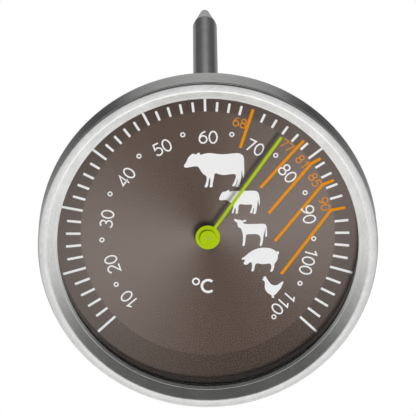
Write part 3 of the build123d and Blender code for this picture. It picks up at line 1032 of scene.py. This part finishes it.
@dataclass
class DialPrint:
    """Everything printed on the dial: scale, numerals, animals and doneness lines."""

    front: float = field(init=False)
    back: float = field(init=False)
    letters: Lettering = field(default_factory=Lettering)
    ink: float = 0.02
    middle_value: float = 60.0
    turn: float = 2.66
    lowest: int = 10
    highest: int = 110
    unmarked: tuple[int, ...] = (68, 90)
    short_tens: tuple[int, ...] = (70,)
    tick_width: float = 0.4
    tick_start: float = 20.72
    long_end: float = 24.66
    numeral_height: float = 2.2
    numeral_line: float = 0.25
    dot_radius: float = 17.27
    dot_size: float = 0.64
    dot_line: float = 0.21
    last_dot: Point = (143.1, 17.87)
    unit_ring_at: Point = (-1.97, -8.14)
    unit_ring_radius: float = 0.52
    unit_ring_line: float = 0.28
    unit_letter_at: Point = (-0.22, -8.93)
    unit_letter_height: float = 2.45
    unit_letter_line: float = 0.42
    orange_width: float = 0.48
    orange_height: float = 1.62
    orange_line: float = 0.17

    def __post_init__(self) -> None:
        """Find the dial's face, and place the ink on it and as far into it."""
        face = Extent.of("dial_plate").back - DIAL_SHEET
        self.front = face - self.ink
        self.back = face + self.ink

    def angle(self, value: float) -> float:
        """Clock angle of a temperature by the pointer's even turn."""
        return (value - self.middle_value) * self.turn

    def mark(self, value: float) -> tuple[float, float]:
        """Clock angle and outer radius of a short mark, evenly spaced between the tens."""
        tens = range(self.lowest, self.highest + 1, 10)
        return float(np.interp(value, tens, TENS_ANGLES)), float(np.interp(value, tens, SHORT_ENDS))

    def build(self) -> None:
        """Print everything."""
        self.ticks()
        self.numerals()
        self.dots()
        self.unit()
        self.doneness()
        for name, outline in ANIMALS.items():
            self.animal(name, outline)

    def bar(self, start: np.ndarray, end: np.ndarray, width: float) -> Shape:
        """Straight printed bar between two places."""
        return ribbon(np.array([start, end]), width, self.front, self.back)

    def ticks(self) -> None:
        """A short tick every 2 degrees and a long one every 10, fewer where doneness lines stand."""
        bars = []
        for value in range(self.lowest, self.highest + 1, 2):
            if value in self.unmarked:
                continue
            angle, end = self.mark(value)
            if value % 10 == 0 and value not in self.short_tens:
                end = self.long_end
            bars.append(self.bar(clock(angle, self.tick_start), clock(angle, end), self.tick_width))
        add_piece("scale_ticks", joined(bars), WHITE_INK)

    def numerals(self) -> None:
        """Numerals every 10 degrees, each with its top outwards."""
        self.values("scale_numerals", NUMERALS, self.numeral_height, self.numeral_line, WHITE_INK)

    def values(self, name: str, places: Sequence[tuple[int, float, float]], height: float,
               line: float, ink: Paint) -> None:
        """Print a set of numbers as one piece, each with its top outwards.

        Args:
            name: the piece's name.
            places: (value, clock angle, radius of its middle) of each.
            height: of the figures.
            line: width of their line.
            ink: what they are printed with.
        """
        shapes = []
        for value, angle, radius in places:
            up = clock(angle, 1)
            shapes += self.letters.write(str(value), up * radius, up, height, line,
                                         self.front, self.back)
        add_piece(name, joined(shapes), ink)

    def dots(self) -> None:
        """Small rings half way between the numerals, and one after the last."""
        halfway = range(self.lowest + 5, self.highest, 10)
        places = [(self.angle(value), self.dot_radius) for value in halfway] + [self.last_dot]
        rings = [ribbon(oval(tuple(clock(angle, radius)), (self.dot_size / 2,) * 2, steps=20),
                        self.dot_line, self.front, self.back, True) for angle, radius in places]
        add_piece("scale_dots", joined(rings), WHITE_INK)

    def unit(self) -> None:
        """The unit's degree ring and C below the hub."""
        ring = ribbon(oval(self.unit_ring_at, (self.unit_ring_radius,) * 2, steps=28),
                      self.unit_ring_line, self.front, self.back, True)
        letter = self.letters.write("C", np.array(self.unit_letter_at), np.array([0, 1.0]),
                                    self.unit_letter_height, self.unit_letter_line,
                                    self.front, self.back)
        add_piece("unit_mark", joined([ring, *letter]), WHITE_INK)

    def doneness(self) -> None:
        """Orange lines from the scale to the animals, each with its temperature beside it."""
        lines = [ribbon(np.array(path), self.orange_width, self.front, self.back)
                 for path in DONENESS_LINES]
        add_piece("doneness_lines", joined(lines), ORANGE_INK)
        self.values("doneness_values", DONENESS_VALUES, self.orange_height, self.orange_line,
                    ORANGE_INK)

    def animal(self, name: str, outline: Sequence[Point]) -> None:
        """Filled outline of one animal."""
        add_piece(name, filled(corner_cut(outline), self.front, self.back), WHITE_INK)


@dataclass
class Pointer:
    """Green needle and hub on the spindle."""

    needle_width: float = 0.48
    end_bevel: float = 0.05
    disc_radius: float = 2.0
    boss_round: float = 0.14
    cap: float = 0.4
    sleeve_radius: float = 0.91

    def build(self) -> None:
        """Make the needle and the hub."""
        self.needle()
        self.hub()

    def needle(self) -> None:
        """Stamped sheet: one outline round the disc and along the blade, bevelled at its end."""
        at = Extent.of("pointer_needle")
        half = self.needle_width / 2
        reach = math.sqrt(at.outer ** 2 - half ** 2)
        opening = math.degrees(math.asin(half / self.disc_radius))
        bend = np.radians(np.linspace(90 - opening, -270 + opening, 97))
        disc = self.disc_radius * np.column_stack([np.cos(bend), np.sin(bend)])
        bevel = self.end_bevel
        blade = [(-half, reach - bevel), (-half + bevel, reach),
                 (half - bevel, reach), (half, reach - bevel)]
        local = np.vstack([disc, blade])
        turn = math.radians(needle_angle())
        across = np.array([math.cos(turn), -math.sin(turn)])
        ahead = np.array([math.sin(turn), math.cos(turn)])
        outline = local[:, :1] * across + local[:, 1:] * ahead
        add_piece("needle", filled(outline, at.front, at.back), POINTER_GREEN, Body.TURNING,
                  stands_for=["pointer_needle"])

    def hub(self) -> None:
        """Turned boss with an eased rim, a fine hole over the spindle's end, and a sleeve below."""
        at = Extent.of("pointer_hub")
        needle = Extent.of("pointer_needle")
        bore = Extent.of("spindle").outer + RUNNING_FIT
        cap_back = at.front + self.cap - RUNNING_FIT
        outline = rounded([
            (at.inner, at.front, 0.02), (at.outer, at.front, self.boss_round),
            (at.outer, needle.front, 0.03), (self.sleeve_radius, needle.front, 0.0),
            (self.sleeve_radius, at.back, 0.05), (bore, at.back, 0.03),
            (bore, cap_back, 0.03), (at.inner, cap_back, 0.0)])
        add_piece("hub", turned(outline, around=128), POINTER_GREEN, Body.TURNING,
                  stands_for=["pointer_hub"])


def needle_angle(margin: float = 0.05) -> float:
    """Clock angle of the needle's blade: where its points within a margin of the farthest lie."""
    points = node_points("pointer_needle")[:, [0, 2]]
    radius = np.hypot(points[:, 0], points[:, 1])
    end = points[radius > radius.max() - margin].mean(axis=0)
    return math.degrees(math.atan2(end[0], end[1]))


@dataclass
class Probe:
    """Collar behind the head, stem and point."""

    collar_wall: float = 1.2
    flange_thickness: float = 1.2
    neck_step: float = 0.5
    collar_fillet: float = 1.2
    edge_round: float = 0.5
    turned_end_fit: float = 0.02
    nose_radius: float = 0.85

    def build(self) -> None:
        """Make the collar, the stem and the point, and dress the seal."""
        self.collar()
        self.stem()
        self.point()
        dress_node("collar_seal", SEAL_RUBBER)

    def collar(self) -> None:
        """Turned collar: spigot, flange, fillet and a rounded neck."""
        at = Extent.of("stem_collar")
        stem = Extent.of("stem_tube")
        flange_front = Extent.of("collar_seal").back
        spigot = stem.outer + self.collar_wall
        neck = spigot + self.neck_step
        flange_back = flange_front + self.flange_thickness
        outline = rounded([
            (at.inner, at.front, 0.05), (spigot, at.front, 0.15), (spigot, flange_front, 0.05),
            (at.outer, flange_front, 0.12), (at.outer, flange_back, self.edge_round),
            (neck, flange_back, self.collar_fillet), (neck, at.back, self.edge_round),
            (at.inner, at.back, 0.1)], steps=12)
        add_piece("collar", turned(outline, around=160), STEM_STEEL, stands_for=["stem_collar"])

    def stem(self) -> None:
        """Straight tube with a turned-down end in the collar."""
        at = Extent.of("stem_tube")
        end = Extent.of("stem_collar").inner - self.turned_end_fit
        middles = [(at.outer, y, 0.0) for y in np.linspace(0, at.back, 14)[1:-1]]
        outline = rounded([
            (at.inner, at.front, 0), (end, at.front, 0.03), (end, 0, 0), (at.outer, 0, 0.03),
            *middles, (at.outer, at.back, 0), (at.inner, at.back, 0)])
        add_piece("stem", turned(outline, around=128), STEM_STEEL, stands_for=["stem_tube"])

    def point(self) -> None:
        """Cone that touches a round nose.

        Seen from the edge of the stem's end, the nose's middle lies atan(R / d) off the axis, and
        the cone leaves that line by asin(n / reach), with n the nose's radius and d, reach the
        distances to the nose's middle along the axis and straight.
        """
        at = Extent.of("probe_tip")
        base = Extent.of("stem_tube").back
        full = at.outer
        spigot = Extent.of("stem_tube").inner - RUNNING_FIT
        depth = at.back - self.nose_radius - base
        lean = math.atan2(full, depth) - math.asin(self.nose_radius / math.hypot(full, depth))
        angle = np.linspace(lean, np.pi / 2, 24)
        nose = np.column_stack([self.nose_radius * np.cos(angle),
                                base + depth + self.nose_radius * np.sin(angle)])
        nose[-1, 0] = 0.0
        along = np.linspace(0, 1, 12)[:-1, None]
        side = np.array([full, base]) * (1 - along) + nose[0] * along
        root = np.array([(0, at.front), (spigot, at.front), (spigot, base)])
        shape = turned(np.vstack([root, side, nose]), closed=False, around=128)
        add_piece("point", shape, STEM_STEEL, stands_for=["probe_tip"])


@dataclass
class Movement:
    """The works inside the head and the stem, shown as the CAD nodes with their finishes."""

    finishes: dict[str, Finish] = field(default_factory=lambda: {
        "dial_carrier": INNER_STEEL,
        "lock_washer": INNER_STEEL,
        "collar_nut": INNER_STEEL,
        "spindle": INNER_STEEL,
        "spindle_collar": BEARING_BRASS,
        "helix_coupling": INNER_STEEL,
        "helix_anchor": INNER_STEEL,
        "upper_bearing": BEARING_BRASS,
        "spindle_guide": BEARING_BRASS,
        "lower_bearing": BEARING_BRASS,
        "bimetal_helix": BIMETAL,
    })

    def build(self) -> None:
        """Dress every node of the works."""
        for node, finish in self.finishes.items():
            dress_node(node, finish)


# ---------------------------------------------------------------- studio

@dataclass
class Studio:
    """Floor, surroundings, lights and camera.

    The glows are brightnesses in reflections, and each span is where a glow sets in, in parts of
    the unit direction.
    """

    distance: float = 0.85
    elevation: float = 17.46
    yaw: float = 0.15
    roll: float = 0.31
    aim_rise: float = 0.4255
    lens: float = 455.6
    sensor: float = 36.0
    clip: Span = (0.01, 20.0)
    floor_drop: float = 0.0006
    floor_size: float = 3.0
    overhead: float = 0.1
    low_front: float = 0.97
    front_span: Span = (-0.35, 0.4)
    floor_glow: float = 0.4
    floor_span: Span = (-1.0, -0.3)
    dark_back: float = 0.08
    strip_glow: float = 0.2
    strip_side_span: Span = (0.0, 0.24)
    strip_rise_span: Span = (0.08, 0.3)
    middle_glow: float = 0.35
    middle_span: Span = (0.14, 0.24)
    low_back: float = 0.25
    low_back_span: Span = (0.0, 0.09)
    low_back_fall: float = 0.4
    rear_span: Span = (0.55, 0.85)
    ambient: float = 0.25
    key_power: float = 4.2
    key_from: tuple[float, float, float] = (0.17, -0.72, -0.08)
    key_size: float = 0.24
    card_glow: float = 0.45
    card_size: tuple[float, float] = (0.15, 0.08)
    card_at: tuple[float, float, float] = (0.0, 0.2, 0.09)

    def build(self) -> None:
        """Set up everything round the object."""
        self.floor()
        self.surroundings()
        self.key_light()
        self.back_card()
        self.camera()
        bpy.context.scene.view_settings.view_transform = "Standard"

    def floor(self) -> None:
        """Even white sheet just under the head."""
        half = self.floor_size / 2
        level = CAD_BOX[0].z - self.floor_drop
        corners = [(-half, -half, level), (half, -half, level),
                   (half, half, level), (-half, half, level)]
        mesh = bpy.data.meshes.new("floor")
        mesh.from_pydata(corners, [], [(0, 1, 2, 3)])
        material = bpy.data.materials.new("floor_white")
        material.use_nodes = True
        graph = Graph(material.node_tree)
        graph.finish(graph.output("ShaderNodeEmission", {"Color": (1, 1, 1), "Strength": 1.0}))
        mesh.materials.append(material)
        floor = bpy.data.objects.new("floor", mesh)
        bpy.context.scene.collection.objects.link(floor)
        floor.visible_shadow = floor.visible_diffuse = floor.visible_glossy = False

    def surroundings(self) -> None:
        """White to the eye and even to the paint, and shaped in reflections.

        In front it is bright low down and dark overhead. Behind it is dark but for a strip up the
        middle, a round patch straight back and a glow below the horizon.
        """
        world = bpy.data.worlds.new("studio")
        world.use_nodes = True
        bpy.context.scene.world = world
        graph = Graph(world.node_tree)
        x, y, z = graph.split(graph.node("ShaderNodeTexCoord").outputs["Generated"])
        paths = graph.node("ShaderNodeLightPath").outputs
        front = (self.overhead + (1.0 - z.step(*self.front_span)) * self.low_front
                 + (1.0 - z.step(*self.floor_span)) * self.floor_glow)
        aside = x.math("ABSOLUTE")
        strip = (1.0 - aside.step(*self.strip_side_span)) * z.step(*self.strip_rise_span)
        middle = 1.0 - (x * x + z * z).math("SQRT").step(*self.middle_span)
        low = 1.0 - (z + aside * self.low_back_fall).step(*self.low_back_span)
        behind = (self.dark_back + strip * self.strip_glow + middle * self.middle_glow
                  + (1.0 - middle) * low * self.low_back)
        rear = y.step(*self.rear_span)
        mirrored = front * (1.0 - rear) + behind * rear
        ambient = Value(graph, paths["Is Diffuse Ray"])
        level = mirrored * (1.0 - ambient) + self.ambient * ambient
        studio, white = (graph.output("ShaderNodeBackground", {"Color": colour, "Strength": 1.0})
                         for colour in (level.tone(), (1, 1, 1)))
        seen = {0: paths["Is Camera Ray"], 1: studio, 2: white}
        graph.finish(graph.output("ShaderNodeMixShader", seen), "ShaderNodeOutputWorld")

    def key_light(self) -> None:
        """Soft square light in front, low and to the right, that the metal doesn't mirror."""
        aim = Vector((0, CAD_BOX[0].y, 0)) - Vector(self.key_from)
        size = (self.key_size, self.key_size)
        self.area_light("key", size, self.key_power, self.key_from, aim).visible_glossy = False

    def back_card(self) -> None:
        """Glowing card above and behind the head, which only the top of the case mirrors."""
        power = self.card_glow * math.pi * self.card_size[0] * self.card_size[1]
        card = self.area_light("back_card", self.card_size, power, self.card_at, Vector((0, -1, 0)))
        card.visible_camera = card.visible_diffuse = False

    @staticmethod
    def area_light(name: str, size: tuple[float, float], power: float, place: Sequence[float],
                   aim: Vector) -> bpy.types.Object:
        """Hang a rectangular light.

        Args:
            name: the light's name.
            size: its width and height.
            power: in watts.
            place: of its middle.
            aim: the direction that it shines in.

        Returns:
            The light's object.
        """
        lamp = bpy.data.lights.new(name, "AREA")
        lamp.shape = "RECTANGLE"
        lamp.size, lamp.size_y = size
        lamp.energy = power
        light = bpy.data.objects.new(name, lamp)
        light.location = place
        light.rotation_euler = aim.to_track_quat("-Z", "Y").to_euler()
        bpy.context.scene.collection.objects.link(light)
        return light

    def camera(self) -> None:
        """Long lens in front of the dial and a little above it."""
        tilt, turn, twist = (math.radians(angle) for angle in (self.elevation, self.yaw, self.roll))
        about_x, about_y, about_z = (np.array(Matrix.Rotation(angle, 3, axis)) for angle, axis in
                                     ((tilt, "X"), (turn, "Y"), (twist, "Z")))
        facing = about_z @ about_x @ about_y
        right, up, back = np.column_stack([facing[:, 0], -facing[:, 2], facing[:, 1]])
        place = np.array([0, CAD_BOX[0].y, 0]) + back * self.distance
        rise = math.radians(self.aim_rise)
        raised_up = up * math.cos(rise) + back * math.sin(rise)
        raised_back = back * math.cos(rise) - up * math.sin(rise)
        data = bpy.data.cameras.new("camera")
        data.lens = self.lens
        data.sensor_width = self.sensor
        data.clip_start, data.clip_end = self.clip
        camera = bpy.data.objects.new("camera", data)
        matrix = np.eye(4)
        matrix[:3, :3] = np.column_stack([right, raised_up, raised_back])
        matrix[:3, 3] = place
        camera.matrix_world = Matrix(matrix.tolist())
        bpy.context.scene.collection.objects.link(camera)
        bpy.context.scene.camera = camera


def write_sizes() -> None:
    """Bring the view layer up to date."""
    bpy.context.view_layer.update()


def main() -> None:
    """Build every sub-assembly in order."""
    logging.basicConfig(level=logging.INFO, format="%(name)s %(message)s")
    for assembly in (Head(), DialPrint(), Pointer(), Probe(), Movement(), Studio()):
        assembly.build()
        log.info("%s done", type(assembly).__name__)
    write_sizes()


if __name__ == "__main__":
    main()
